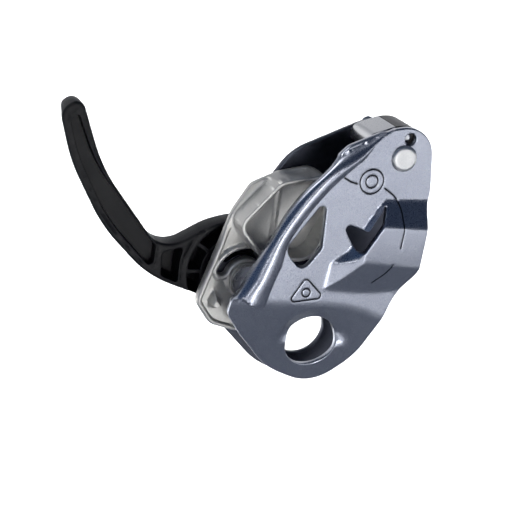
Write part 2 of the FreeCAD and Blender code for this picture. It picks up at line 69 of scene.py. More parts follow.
# ------------------------------------------------------------------ outlines
def rounded(corners, step=0.7):
    """Points in mm along a closed outline given as (x, z, corner radius)."""
    points = []
    pts = [Vector((x, z)) for x, z, _ in corners]
    for i, (_, _, radius) in enumerate(corners):
        here = pts[i]
        back = (pts[i - 1] - here).normalized()
        ahead = (pts[(i + 1) % len(pts)] - here).normalized()
        half = back.angle(ahead) / 2
        reach = radius / math.tan(half)
        centre = here + (back + ahead).normalized() * radius / math.sin(half)
        first = here + back * reach - centre
        turn = math.pi - 2 * half
        if first.x * (here.y - centre.y) - first.y * (here.x - centre.x) < 0:
            turn = -turn
        count = max(2, int(abs(turn) * radius / step) + 1, int(abs(turn) / 0.2) + 1)
        for k in range(count + 1):
            c, s = math.cos(turn * k / count), math.sin(turn * k / count)
            points.append(centre + Vector((first.x * c - first.y * s, first.x * s + first.y * c)))
    full = []
    for i, p in enumerate(points):
        q = points[(i + 1) % len(points)]
        count = max(1, int((q - p).length / step))
        full += [p.lerp(q, k / count) for k in range(count)]
    return np.array([(p.x, p.y) for p in full])


def circle(centre, radius, step=0.5):
    count = max(24, int(2 * math.pi * radius / step))
    turn = np.linspace(0, 2 * math.pi, count, endpoint=False)
    return np.stack([centre[0] + radius * np.cos(turn), centre[1] + radius * np.sin(turn)], 1)


def inside(points, loop):
    """True where a point lies inside a closed loop (even-odd rule)."""
    x, z = points[:, 0], points[:, 1]
    result = np.zeros(len(points), bool)
    x0, z0 = loop[:, 0], loop[:, 1]
    x1, z1 = np.roll(x0, -1), np.roll(z0, -1)
    for a, b, c, d in zip(x0, z0, x1, z1):
        if b == d:
            continue
        cross = (b > z) != (d > z)
        result ^= cross & (x < (c - a) * (z - b) / (d - b) + a)
    return result


def distance(points, loops, closed=True):
    """Distance from each point to the nearest loop or line."""
    best = np.full(len(points), 1e9)
    for loop in loops:
        start, end = (loop, np.roll(loop, -1, axis=0)) if closed else (loop[:-1], loop[1:])
        for a, b in zip(start, end):
            along = b - a
            length = max(float(along @ along), 1e-12)
            t = np.clip((points - a) @ along / length, 0, 1)
            gap = points - a - t[:, None] * along
            best = np.minimum(best, (gap * gap).sum(1))
    return np.sqrt(best)


def smooth(edge0, edge1, value):
    t = np.clip((value - edge0) / (edge1 - edge0), 0, 1)
    return t * t * (3 - 2 * t)


def ramp(value, radius):
    """max(0, value) with its corner rounded over +-radius."""
    t = np.clip(value, -radius, radius)
    return np.where(value > radius, value, (t + radius) ** 2 / (4 * radius))


# ------------------------------------------------------------- mesh builders
EDGE_RINGS = (0.1, 0.28, 0.5)                          # rows of points beside every boundary
CREASE_RINGS = (-0.55, -0.3, -0.11, 0.11, 0.3, 0.55)   # and on both sides of every step
GROOVE_ROWS = (-0.42, -0.26, -0.1, 0.1, 0.26, 0.42)    # and along every engraved line
SHARP_ANGLE = math.radians(42)
WALL_HALF = 0.1                                        # half the width that a steep wall takes up
SHEET_EDGE = 0.42                                      # rounding of the side plates' edges


def loop_rings(loop, into, amounts):
    """Copies of a loop moved into the material; into is +1 to the left of travel."""
    ahead = np.roll(loop, -1, axis=0) - np.roll(loop, 1, axis=0)
    ahead /= np.maximum(np.linalg.norm(ahead, axis=1, keepdims=True), 1e-9)
    left = np.stack([-ahead[:, 1], ahead[:, 0]], 1) * into
    return [loop + left * a for a in amounts]


def signed_area(loop):
    x, z = loop[:, 0], loop[:, 1]
    return float((x * np.roll(z, -1) - np.roll(x, -1) * z).sum() / 2)


def flat_mesh(outline, holes, spacing, patches=(), creases=(), lines=()):
    """Dense triangles over an outline with holes: (points, faces, distance to the edge)."""
    loops = [outline] + holes
    rings = []
    for i, loop in enumerate(loops):
        into = 1 if signed_area(loop) > 0 else -1
        rings += loop_rings(loop, into if i == 0 else -into, EDGE_RINGS)
    low, high = outline.min(0), outline.max(0)
    grid = []
    for i, z in enumerate(np.arange(low[1], high[1], spacing * 0.866)):
        row = np.arange(low[0] + (i % 2) * spacing / 2, high[0], spacing)
        grid.append(np.stack([row, np.full(len(row), z)], 1))
    grid = np.concatenate(grid)
    for mask, more in patches:
        grid = np.concatenate([grid[~mask(grid)], more])

    def clear(points, margin):
        ok = inside(points, outline)
        for hole in holes:
            ok &= ~inside(points, hole)
        return points[ok][distance(points[ok], loops) > margin]

    spread = clear(grid, EDGE_RINGS[-1] + 0.18)
    rings = [clear(r, 0.05) for r in rings]
    if creases:
        sides = np.concatenate([r for loop in creases for r in loop_rings(loop, 1, CREASE_RINGS)])
        spread = spread[distance(spread, creases) > CREASE_RINGS[-1] + 0.2]
        sides = clear(sides, 0.12)
        rings = [r[distance(r, creases) > 0.05] for r in rings] + [sides[distance(sides, creases) > 0.05]]
    if len(lines):
        beads = np.concatenate([line_points(line) for line in lines])
        spread = spread[distance(spread, lines, False) > GROOVE_ROWS[-1] + 0.2]
        rings.append(clear(beads, 0.3))
    points = np.concatenate(loops + list(creases) + [spread] + rings)
    edges = []
    start = 0
    for loop in loops + list(creases):
        n = len(loop)
        edges += [(start + k, start + (k + 1) % n) for k in range(n)]
        start += n
    verts, _, faces, _, _, _ = delaunay_2d_cdt([Vector(p) for p in points], edges, [], 0, 1e-5)
    verts = np.array([(v.x, v.y) for v in verts])
    faces = np.array([f for f in faces if len(f) == 3])
    middle = verts[faces].mean(1)
    ok = inside(middle, outline)
    for hole in holes:
        ok &= ~inside(middle, hole)
    return verts, faces[ok], distance(verts, loops)


def line_points(line):
    """Points on and beside an open line, for an engraved groove."""
    line = resample(line, 0.22)
    ahead = np.gradient(line, axis=0)
    ahead /= np.maximum(np.linalg.norm(ahead, axis=1, keepdims=True), 1e-9)
    left = np.stack([-ahead[:, 1], ahead[:, 0]], 1)
    points = np.concatenate([line + left * a for a in GROOVE_ROWS])
    kept = []
    cells = set()
    for p in points:
        cell = (round(p[0] / 0.13), round(p[1] / 0.13))
        if cell not in cells:
            cells.add(cell)
            kept.append(p)
    return np.array(kept)


def resample(line, step):
    """The same line with points a fixed step apart."""
    line = np.asarray(line, float)
    along = np.concatenate([[0], np.cumsum(np.linalg.norm(np.diff(line, axis=0), axis=1))])
    where = np.linspace(0, along[-1], max(2, int(along[-1] / step) + 1))
    return np.stack([np.interp(where, along, line[:, k]) for k in (0, 1)], 1)


def curved(points):
    """A smooth open line through the given points (Catmull-Rom)."""
    p = [np.array(q, float) for q in points]
    p = [2 * p[0] - p[1]] + p + [2 * p[-1] - p[-2]]
    out = []
    for a, b, c, d in zip(p, p[1:], p[2:], p[3:]):
        for t in np.linspace(0, 1, 12, endpoint=False):
            out.append(0.5 * (2 * b + (c - a) * t + (2 * a - 5 * b + 4 * c - d) * t * t
                              + (3 * b - a - 3 * c + d) * t ** 3))
    out.append(p[-2])
    return resample(out, 0.3)


def mesh_object(name, verts, faces):
    """A mesh object from millimetre points."""
    mesh = bpy.data.meshes.new(name)
    places = [tuple(c * MM for c in v) for v in verts]
    mesh.from_pydata(places, [], [tuple(int(i) for i in f) for f in faces])
    mesh.validate()
    bm = bmesh.new()
    bm.from_mesh(mesh)
    loose = [v for v in bm.verts if not v.link_faces]
    bmesh.ops.delete(bm, geom=loose, context="VERTS")
    bmesh.ops.recalc_face_normals(bm, faces=bm.faces)
    bm.to_mesh(mesh)
    bm.free()
    mesh.shade_smooth()
    mesh.set_sharp_from_angle(angle=SHARP_ANGLE)
    obj = bpy.data.objects.new(name, mesh)
    bpy.context.scene.collection.objects.link(obj)
    return obj


def edge_drop(gap, radius):
    """How far a rounded edge has fallen away at a distance from the boundary."""
    t = np.clip(radius - gap, 0, radius)
    return radius - np.sqrt(radius * radius - t * t)


def solid_between(name, outline, holes, front, back, spacing, **more):
    """A closed solid whose front and back faces stand at y = front(x, z, gap) and back(x, z, gap)."""
    flat, faces, gap = flat_mesh(outline, holes, spacing, **more)
    x, z = flat[:, 0], flat[:, 1]
    near = np.stack([x, front(x, z, gap), z], 1)
    far = np.stack([x, back(x, z, gap), z], 1)
    n = len(flat)
    half_edges = set()
    for f in faces:
        half_edges |= {(f[0], f[1]), (f[1], f[2]), (f[2], f[0])}
    sides = [(b, a, a + n, b + n) for a, b in half_edges if (b, a) not in half_edges]
    return mesh_object(name, np.concatenate([near, far]),
                       [tuple(f) for f in faces] + [tuple(f[::-1] + n) for f in faces] + sides)


def signed(x, z, loop):
    """Distance to a closed loop, negative inside it."""
    points = np.stack([x, z], 1)
    gap = distance(points, [loop])
    return np.where(inside(points, loop), -gap, gap)


def step_in(gap):
    """0 outside a loop, 1 inside: a steep wall at gap 0."""
    return smooth(WALL_HALF, -WALL_HALF, gap)


def shoulder(gap, radius):
    """How far the ground beside a wall's top edge has dropped, at a distance from the wall."""
    return edge_drop(np.maximum(gap, 0), radius)


# --------------------------------------------------------- moving side plate
PLATE_OUTLINE = [
    (-30.7, 22.0, 1.5), (-31.7, 16.6, 5.0), (-27.0, 8.0, 20.0), (-16.0, -8.5, 30.0), (2.0, -19.5, 14.0),
    (17.0, -8.5, 25.0), (28.5, 14.0, 20.0), (36.0, 23.5, 12.0), (39.6, 46.0, 15.0),
    (41.4, 52.0, 20.0), (41.4, 76.0, 10.4), (25.0, 75.6, 20.0), (11.0, 71.5, 6.0),
    (-9.5, 55.0, 60.0), (-23.5, 33.0, 60.0),
]
LEFT_WINDOW = [(-11.8, 37.5, 4.0), (-5.5, 29.0, 3.0), (1.6, 36.5, 3.0), (3.4, 54.5, 1.5)]
RIGHT_WINDOW = [
    (17.8, 40.8, 1.0), (26.2, 52.8, 0.5), (22.4, 43.6, 1.0), (14.4, 33.0, 1.5), (8.6, 45.2, 1.5),
]
EYE_RADIUS = 9.5
RIVET_HOLE = 3.05
DETENT_HOLE = 2.0
GROOVE_DEPTH = 0.32

# Below a slightly curved fold the plate leans back, and a funnel leads into the upper side of the hole.
FOLD_HEIGHT, FOLD_TILT, FOLD_BEND = 16.0, 0.18, 0.012
FOLD_COSINE = 0.984
FOLD_RADIUS = 2.2
LOWER_SLOPE = 0.28
FUNNEL_RADIUS = 14.6
FUNNEL_SLOPE = 0.6
DISH_PATCH = 16.4                    # radius of the ring of finer mesh round the hole

# The rolled lip follows an arc along the plate's upper left edge, from the rivet down.
LIP_CENTRE = (62.2, -7.7)
LIP_START, LIP_END = 112.0, 163.5    # degrees about LIP_CENTRE
LIP_INNER, LIP_OUTER = 87.4, 95.2    # radii about LIP_CENTRE
LIP_RISE = 4.3
LIP_CREST = 0.52                     # how far across it the lip is highest
LIP_ROUND = 0.62                     # exponent of its section
LIP_TIP_ACROSS = (0.0, 0.06, 0.3, 0.6, 0.8, 1.0)     # where the lip stops at its lower end
LIP_TIP_ANGLE = (160.6, 162.2, 162.6, 161.9, 161.2, 161.8)

# The raised channel: edges that run left to right are (height, x where it has that height, slope).
BULGE_RISE = 4.95
BULGE_TOP = (51.1, 23.9, -0.119)
FACE_TOP = (43.5, 22.3, -0.175)
FACE_LOW = (30.5, 16.4, -0.224)
FOOT_HEIGHT, FOOT_MIDDLE, FOOT_BEND = 17.6, 31.0, 0.0052
LEFT_HEIGHTS = (20.0, 31.0, 34.0, 44.0, 51.0)
LEFT_EDGE = (15.0, 15.0, 15.2, 22.0, 26.0)
LEFT_FOOT = (2.0, 5.0, 11.0, 18.5, 24.0)
FACE_LEAN = 0.0025


def lip_place(x, z):
    """Across the lip, 0 at its inner line and 1 at its outer one; and the angle along it.

    It is narrower at its upper end and wider at its lower end.
    """
    dx, dz = x - LIP_CENTRE[0], z - LIP_CENTRE[1]
    angle = np.degrees(np.arctan2(dz, dx))
    inner = LIP_INNER + 3.0 * smooth(123.0, 116.0, angle) - 2.3 * smooth(145.5, 153.0, angle)
    outer = LIP_OUTER - 3.6 * smooth(132.0, 116.0, angle) + 2.0 * smooth(155.0, 161.0, angle)
    return (np.hypot(dx, dz) - inner) / (outer - inner), angle


def lip_height(x, z):
    across, angle = lip_place(x, z)
    w = np.clip(across, 0, 1)
    side = np.where(w > LIP_CREST, 1 - LIP_CREST, LIP_CREST)
    hump = (1 - np.abs((w - LIP_CREST) / side) ** 2) ** LIP_ROUND
    end = np.interp(across, LIP_TIP_ACROSS, LIP_TIP_ANGLE)
    along = smooth(end + 0.3, end - 0.3, angle)
    fade = 0.3 + 0.7 * smooth(LIP_START, 127.0, angle)
    return LIP_RISE * hump * along * fade


def slanted(edge, x):
    """Height at x of a straight edge."""
    height, start, slope = edge
    return height + slope * (x - start)


def bulge_height(x, z):
    """The raised channel: a nearly flat face with slopes above, below and on the left."""
    top = slanted(BULGE_TOP, x)
    face_top = slanted(FACE_TOP, x)
    face_low = slanted(FACE_LOW, x)
    foot = FOOT_HEIGHT + FOOT_BEND * (FOOT_MIDDLE - x) ** 2
    left_edge = np.interp(z, LEFT_HEIGHTS, LEFT_EDGE)
    left_foot = np.interp(z, LEFT_HEIGHTS, LEFT_FOOT)
    rise = np.minimum((top - z) / (top - face_top), (z - foot) / np.maximum(face_low - foot, 1.0))
    rise = np.minimum(rise, (x - left_foot) / (left_edge - left_foot))
    lean = FACE_LEAN * np.clip(face_top - z, 0, 14) ** 2
    return np.maximum(BULGE_RISE - lean, 0) * (ramp(rise, 0.10) - ramp(rise - 1.0, 0.10))


def plate_height(x, z):
    fold = FOLD_HEIGHT - FOLD_TILT * x - FOLD_BEND * np.maximum(x - 5.0, 0) ** 2
    below = (fold - z) * FOLD_COSINE
    level = -LOWER_SLOPE * ramp(below, FOLD_RADIUS)
    reach = np.hypot(x, z)
    bearing = np.degrees(np.arctan2(z, x))
    upper = smooth(-25.0, 20.0, bearing) * smooth(178.0, 135.0, bearing)
    dish = -FUNNEL_SLOPE * ramp(FUNNEL_RADIUS - reach, 0.2) * upper
    return level + dish + lip_height(x, z) + bulge_height(x, z)


def polar_patch(centre, radii, angles):
    r, a = np.meshgrid(radii, np.radians(angles))
    return np.stack([centre[0] + (r * np.cos(a)).ravel(), centre[1] + (r * np.sin(a)).ravel()], 1)


# Engraved marks: a double ring and a triangle with a ring, and three lines for the rope's route.
RING_PLACE = (19.2, 58.4)
RING_MARK = [circle(RING_PLACE, 4.3, 0.35), circle(RING_PLACE, 2.2, 0.3)]
TRIANGLE_MARK = [
    rounded([(-4.0, 26.8, 1.2), (-10.6, 18.4, 1.2), (2.6, 18.4, 1.2)], 0.35),
    circle((-4.0, 21.2), 1.5, 0.3),
]
ROPE_MARKS = [
    curved([(9.6, 60.6), (11.6, 59.2), (14.0, 58.2)]),
    curved([(24.2, 55.3), (28.0, 51.8), (29.6, 47.9), (29.7, 44.2), (29.6, 40.6), (28.6, 34.9)]),
    curved([(26.0, 28.6), (23.6, 25.4), (20.0, 22.4)]),
]


def groove_lines():
    return [np.concatenate([ring, ring[:1]]) for ring in RING_MARK + TRIANGLE_MARK] + ROPE_MARKS


def build_plate():
    outline = rounded(PLATE_OUTLINE)
    holes = [rounded(LEFT_WINDOW, 0.5), rounded(RIGHT_WINDOW, 0.5), circle((0, 0), EYE_RADIUS),
             circle(PIVOT, RIVET_HOLE, 0.4), circle(DETENT, DETENT_HOLE, 0.3)]
    lip = polar_patch(LIP_CENTRE, np.arange(83.6, 97.6, 0.33), np.arange(LIP_START, LIP_END, 0.42))
    dish = polar_patch((0, 0), np.arange(10.1, DISH_PATCH, 0.45), np.arange(0.0, 360.0, 3.0))

    def in_lip(p):
        across, angle = lip_place(p[:, 0], p[:, 1])
        return (across > -0.04) & (angle > LIP_START) & (angle < LIP_END)

    def in_dish(p):
        return np.hypot(p[:, 0], p[:, 1]) < DISH_PATCH

    lip = lip[in_lip(lip) & ~in_dish(lip)]
    lines = groove_lines()

    def front(x, z, gap):
        cut = distance(np.stack([x, z], 1), lines, False)
        groove = GROOVE_DEPTH * smooth(0.3, 0.12, cut)
        return FRONT - plate_height(x, z) + edge_drop(gap, SHEET_EDGE) + groove

    def back(x, z, gap):
        return FRONT - plate_height(x, z) + SHEET - edge_drop(gap, SHEET_EDGE)

    plate = solid_between("moving_plate_formed", outline, holes, front, back, 0.7,
                          patches=[(in_lip, lip), (in_dish, dish)], lines=lines)
    points = np.array([v.co for v in plate.data.vertices]) / MM
    cut = distance(points[:, [0, 2]], lines, False)
    is_front = points[:, 1] < FRONT - plate_height(points[:, 0], points[:, 2]) + SHEET / 2
    paint = plate.data.attributes.new("groove", "FLOAT", "POINT")
    paint.data.foreach_set("value", (smooth(0.34, 0.2, cut) * is_front).astype(np.float32))
    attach(plate, "moving_plate")
    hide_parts("moving_side_plate")
    return plate


# --------------------------------------------------------------- fixed plate
FIXED_OUTLINE = [
    (-33.0, 28.5, 8.0), (-30.5, 8.0, 14.0), (-17.0, -10.0, 30.0), (1.0, -21.0, 14.0),
    (18.0, -9.0, 25.0), (28.5, 10.0, 30.0), (38.0, 26.0, 30.0), (41.6, 48.0, 30.0),
    (41.6, 76.0, 10.4), (23.0, 74.4, 30.0), (-3.0, 66.5, 20.0), (-16.0, 51.0, 20.0),
]
FRICTION_PINS = [(21.0, 70.4), (25.6, 72.9)]
FRICTION_PIN_RADIUS = 1.25
COUNTERSINK = 1.2                    # holes are cut to the full width of the sunk heads
SHANK_RADIUS = 3.0
AXLE_HOLE = 4.0
DRIVE_RADIUS = 9.0                   # from the axle to the handle's drive pin
SLOT_HALF = 1.6
PLATE_SLOT = (-61.0, 127.0)          # degrees about the axle
CAM_SLOT = (-62.0, 154.0)


def arc_slot(start, end):
    """Outline of an arc slot about the axle, in degrees."""
    inner, outer = DRIVE_RADIUS - SLOT_HALF, DRIVE_RADIUS + SLOT_HALF
    turn = np.radians(np.arange(start, end, np.degrees(0.5 / outer)))
    near = np.stack([inner * np.cos(turn), inner * np.sin(turn)], 1)
    far = np.stack([outer * np.cos(turn), outer * np.sin(turn)], 1)[::-1]
    caps = []
    for angle, away in ((start, math.pi), (end, 0.0)):
        a = math.radians(angle)
        middle = np.array([DRIVE_RADIUS * math.cos(a), DRIVE_RADIUS * math.sin(a)])
        swing = np.radians(np.arange(10, 175, 15)) + (a + away)
        caps.append(middle + SLOT_HALF * np.stack([np.cos(swing), np.sin(swing)], 1))
    start_cap, end_cap = caps
    outline = [near, flip_to(end_cap, near[-1]), far, flip_to(start_cap, far[-1])]
    return np.concatenate(outline) + np.array(AXLE)


def flip_to(points, start):
    """The points in the order that begins nearest to start."""
    if np.linalg.norm(points[0] - start) > np.linalg.norm(points[-1] - start):
        return points[::-1]
    return points


def build_fixed_plate():
    holes = [circle((0, 0), EYE_RADIUS), circle(PIVOT, SHANK_RADIUS + COUNTERSINK, 0.4),
             circle(AXLE, AXLE_HOLE, 0.4), arc_slot(*PLATE_SLOT)]
    holes += [circle(p, FRICTION_PIN_RADIUS + COUNTERSINK, 0.4) for p in FRICTION_PINS]
    sheet = solid_between("fixed_plate_formed", rounded(FIXED_OUTLINE), holes,
                          lambda x, z, gap: -FRONT - SHEET + edge_drop(gap, SHEET_EDGE),
                          lambda x, z, gap: -FRONT - edge_drop(gap, SHEET_EDGE), 1.6)
    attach(sheet, "frame")
    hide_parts("fixed_side_plate")
    return sheet


# --------------------------------------------------------------------- rivet
RIVET_RISE = 1.5
HEAD_RADIUS = 4.6


def turned(name, centre, profile):
    """A closed turned solid: profile rows are (radius, y), from the front axis point to the back one."""
    segments = 96
    verts = [(centre[0], profile[0][1], centre[1])]
    for radius, y in profile[1:-1]:
        for k in range(segments):
            t = 2 * math.pi * k / segments
            verts.append((centre[0] + radius * math.cos(t), y, centre[1] + radius * math.sin(t)))
    verts.append((centre[0], profile[-1][1], centre[1]))
    rings = len(profile) - 2
    faces = []
    for k in range(segments):
        j = (k + 1) % segments
        faces.append((0, 1 + j, 1 + k))
        for r in range(rings - 1):
            a, b = 1 + r * segments, 1 + (r + 1) * segments
            faces.append((a + k, a + j, b + j, b + k))
        last = 1 + (rings - 1) * segments
        faces.append((last + k, last + j, len(verts) - 1))
    return mesh_object(name, verts, faces)


def build_rivet():
    top = FRONT - RIVET_RISE
    dome = [(0, 0.1), (2.0, 0.08), (3.2, 0), (3.6, 0.08), (4.0, 0.28), (4.35, 0.6), (4.55, 1.0),
            (HEAD_RADIUS, 1.3)]
    shank = [(HEAD_RADIUS, FRONT), (SHANK_RADIUS, FRONT), (SHANK_RADIUS, -FRONT - 1.0),
             (SHANK_RADIUS + 1.0, -FRONT), (0, -FRONT)]
    profile = [(radius, top + drop) for radius, drop in dome] + shank
    rivet = turned("pivot_rivet_turned", PIVOT, profile)
    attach(rivet, "frame")
    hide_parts("pivot_rivet")
    return rivet


# ----------------------------------------------------------------------- cam
CAM_ARM = [
    (-39.4, 17.5, 4.5), (-34.5, 8.5, 6.0), (-23.0, 3.4, 9.0), (-9.5, 9.5, 10.0),
    (-3.0, 28.0, 14.0), (9.0, 44.0, 12.0), (8.0, 62.0, 8.0), (-9.0, 60.6, 12.0),
    (-18.6, 57.5, 2.0), (-25.5, 48.6, 8.0),
]
CAM_BOX = [
    (-26.8, 46.2, 5.0), (-17.6, 32.6, 4.0), (0.0, 30.0, 8.0), (9.5, 45.0, 10.0),
    (7.0, 61.2, 6.0), (-11.2, 60.2, 6.0),
]
CAM_LUG = [
    (-30.2, 24.4, 1.0), (-34.2, 16.4, 0.8), (-32.6, 15.0, 0.8), (-26.6, 18.6, 0.8), (-26.4, 20.0, 0.8),
]
CAM_LOW, CAM_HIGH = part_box("cam")
CAM_BACK = CAM_HIGH.y / MM
CAM_FLOOR = CAM_BACK - 2.6
CAM_FRONT = CAM_LOW.y / MM
CAM_WALL = 1.6
RIM_ROUND = 0.6
ROOT_FILLET = 0.5
HUB_FRONT = 1.6
HUB_RADIUS = 6.4
BUSH_BORE = 5.05                     # the hole for the bush, in the cam and in the handle
BEAD_RISE, BEAD_HALF = 1.2, 1.0
LUG_RISE, LUG_FALL, LUG_FOOT = 3.5, 0.14, 19.5
WEB_ENDS = (-12.0, 34.0), (-8.0, 58.5)
WEB_RISE, WEB_SLOPE = 0.6, 1.6


def inset(loop, amount):
    """A rounded outline moved inwards, without loops in tight corners."""
    into = 1 if signed_area(loop) > 0 else -1
    moved = loop_rings(loop, into, (amount,))[0]
    return moved[distance(moved, [loop]) > amount - 0.02]


def ridge(x, z, start, end, height, slope):
    """A roof-shaped ridge between two points, with a rounded crest."""
    a, b = np.array(start), np.array(end)
    along = b - a
    p = np.stack([x, z], 1) - a
    t = np.clip(p @ along / (along @ along), 0, 1)
    gap = np.linalg.norm(p - t[:, None] * along, axis=1)
    return np.maximum(0, height - slope * (np.sqrt(gap * gap + 0.5) - 0.7))


def build_cam():
    outline = rounded(CAM_ARM, 0.6)
    wall_out = rounded(CAM_BOX, 0.6)
    wall_in = inset(wall_out, CAM_WALL)
    hub = circle(AXLE, HUB_RADIUS, 0.6)
    lug = rounded(CAM_LUG, 0.5)
    bore = circle(AXLE, BUSH_BORE, 0.5)
    slot = arc_slot(*CAM_SLOT)

    def front(x, z, gap):
        out = signed(x, z, wall_out)
        pocket = signed(x, z, wall_in)
        tall = CAM_FLOOR - CAM_FRONT
        on_wall = step_in(out) * (1 - step_in(pocket))
        wall = tall * on_wall
        rim_fall = np.maximum(shoulder(-out, RIM_ROUND), shoulder(pocket, RIM_ROUND)) * on_wall
        root = ROOT_FILLET * np.exp(-np.maximum(out, 0) / ROOT_FILLET) * (1 - step_in(out))
        raised = (CAM_FLOOR - HUB_FRONT) * step_in(signed(x, z, hub))
        clear_hub = smooth(10.8, 12.4, from_axle(x, z))
        bead = BEAD_RISE * np.sqrt(np.clip(1 - ((gap - BEAD_HALF) / BEAD_HALF) ** 2, 0, 1))
        bead *= smooth(0.2, 1.4, out) * smooth(44, 36, z)
        tooth = (LUG_RISE - LUG_FALL * (z - LUG_FOOT)) * smooth(0.9, -0.5, signed(x, z, lug))
        web = ridge(x, z, *WEB_ENDS, WEB_RISE, WEB_SLOPE) * step_in(pocket)
        low = np.maximum.reduce([bead, tooth * clear_hub, web, root, raised])
        return CAM_FLOOR - np.maximum(low, wall - rim_fall) + edge_drop(gap, 0.5)

    def back(x, z, gap):
        return CAM_BACK - edge_drop(gap, 0.9)

    body = solid_between("cam_cast", outline, [bore, slot], front, back, 0.75,
                         creases=[wall_out, wall_in, hub, lug, inset(lug, 0.5),
                                  inset(outline, BEAD_HALF), inset(outline, 2 * BEAD_HALF)])
    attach(body, "cam")
    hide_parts("cam")
    return body


# -------------------------------------------------------------------- handle
HANDLE_OUTLINE = [
    (-73.4, 91.4, 3.2), (-80.8, 87.2, 5.0), (-78.2, 70.0, 60.0), (-69.0, 46.5, 60.0),
    (-54.0, 26.5, 40.0), (-33.5, 15.5, 20.0), (-22.0, 6.4, 14.0), (-2.0, 8.0, 15.0),
    (-3.0, 43.6, 15.0), (-30.0, 42.4, 30.0), (-49.0, 34.6, 10.0), (-67.8, 66.5, 60.0),
]
LONG_POCKET = [
    (-74.9, 85.8, 1.0), (-77.4, 83.6, 1.4), (-75.6, 72.0, 60.0), (-66.8, 48.5, 60.0),
    (-52.4, 28.8, 1.4), (-51.0, 37.2, 1.4), (-69.8, 67.5, 60.0),
]
SHORT_POCKET = [
    (-49.4, 26.2, 1.2), (-43.6, 22.6, 0.8), (-43.0, 30.0, 30.0), (-41.2, 35.4, 0.8), (-48.6, 34.4, 1.2),
]
# The long outer side, from which the handle's back is drafted.
CONVEX_SIDE = np.array([
    (-80.6, 86.0), (-79.8, 80.0), (-78.0, 70.0), (-74.2, 59.2), (-69.0, 47.0), (-62.0, 36.4),
    (-54.0, 27.4), (-44.0, 20.6), (-33.5, 15.6), (-22.0, 7.0)])
GRIP_DEPTH, CELL_DEPTH = 3.4, 7.6
HUB_RIBS = (100.0, 140.0, 172.0, 204.0, 250.0)
RIB_HALF = 0.8
OUTER_CELLS, INNER_CELLS = (14.2, 18.6), (11.0, 12.4)
SEAM_RADIUS = 20.8
SEAM_DEPTH = 0.35
LINE_GAP = 1.2                       # from the long pocket to the fine line round it
BACK_ROUND, BACK_FALL = 3.0, 2.6
DRAFT_START, DRAFT_SLOPE = 1.0, 2.5
RECESS_RADIUS, RECESS_DEPTH = 8.8, 3.2
BOSS_RADIUS, BOSS_RISE = 6.1, 1.7
HANDLE_FRONT = -FRONT + 0.4
HANDLE_BACK = HANDLE_FRONT + 10.0


def sector(inner, outer, start, end):
    """A rounded piece of a ring about the axle, between two ribs."""
    near = math.degrees(RIB_HALF / inner)
    far = math.degrees(RIB_HALF / outer)
    corners = []
    for radius, a, b in ((inner, start + near, end - near), (outer, end - far, start + far)):
        for t in np.linspace(0, 1, 7):
            angle = math.radians(a + (b - a) * t)
            corners.append((AXLE[0] + radius * math.cos(angle), AXLE[1] + radius * math.sin(angle), 0.25))
    return rounded(corners, 0.6)


def build_handle():
    outline = rounded(HANDLE_OUTLINE, 0.7)
    grip = rounded(LONG_POCKET, 0.7)
    short = rounded(SHORT_POCKET, 0.6)
    cells = []
    for a, b in zip(HUB_RIBS, HUB_RIBS[1:]):
        cells.append(sector(*OUTER_CELLS, a, b))
        cells.append(sector(*INNER_CELLS, a, b))
    bore = circle(AXLE, BUSH_BORE, 0.5)
    recess, boss = circle(AXLE, RECESS_RADIUS, 0.6), circle(AXLE, BOSS_RADIUS, 0.5)

    def front(x, z, gap):
        y = HANDLE_FRONT + edge_drop(gap, 0.9)
        for loop, depth in [(grip, GRIP_DEPTH), (short, CELL_DEPTH)] + [(c, CELL_DEPTH) for c in cells]:
            d = signed(x, z, loop)
            y = y + depth * step_in(d) + shoulder(d, 0.45) * (1 - step_in(d))
        seam = SEAM_DEPTH * smooth(0.55, 0.15, np.abs(from_axle(x, z) - SEAM_RADIUS))
        track = signed(x, z, grip)
        line = SEAM_DEPTH * smooth(0.35, 0.1, np.abs(track - LINE_GAP))
        return y + seam + line * step_in(-track)

    def back(x, z, gap):
        t = np.clip(1 - gap / BACK_ROUND, 0, 1)
        y = HANDLE_BACK - BACK_FALL * (1 - np.sqrt(1 - t * t))
        convex = distance(np.stack([x, z], 1), [CONVEX_SIDE], False)
        drafted = HANDLE_FRONT + DRAFT_START + DRAFT_SLOPE * convex
        y -= ramp(y - drafted, 0.8)
        y -= RECESS_DEPTH * step_in(signed(x, z, recess)) - BOSS_RISE * step_in(signed(x, z, boss))
        return y

    body = solid_between("handle_moulding", outline, [bore], front, back, 0.9,
                         creases=[grip, short, recess, boss] + cells)
    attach(body, "handle")
    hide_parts("handle")
    return body


# ------------------------------------------------------------------- camera
CAMERA_PLACE = (-0.1614, -0.4027, 0.2035)
CAMERA_TARGET = (-0.02066, -0.0097, 0.0355)
LENS, SENSOR = 93.75, 36

camera = bpy.data.objects.new("camera", bpy.data.cameras.new("camera"))
bpy.context.scene.collection.objects.link(camera)
camera.location = CAMERA_PLACE
camera_aim = Vector(CAMERA_TARGET) - camera.location
camera.rotation_euler = camera_aim.to_track_quat("-Z", "Y").to_euler()
camera.data.lens = LENS
camera.data.sensor_width = SENSOR
camera.data.clip_start = 0.02
bpy.context.scene.camera = camera


# ---------------------------------------------------------------- materials
def add_node(tree, kind, inputs=(), **settings):
    """A shader node whose inputs are given as values or as sockets to link."""
    node = tree.nodes.new("ShaderNode" + kind)
    for key, value in settings.items():
        setattr(node, key, value)
    for key, value in dict(inputs).items():
        if isinstance(value, bpy.types.NodeSocket):
            tree.links.new(value, node.inputs[key])
        else:
            node.inputs[key].default_value = value
    return node


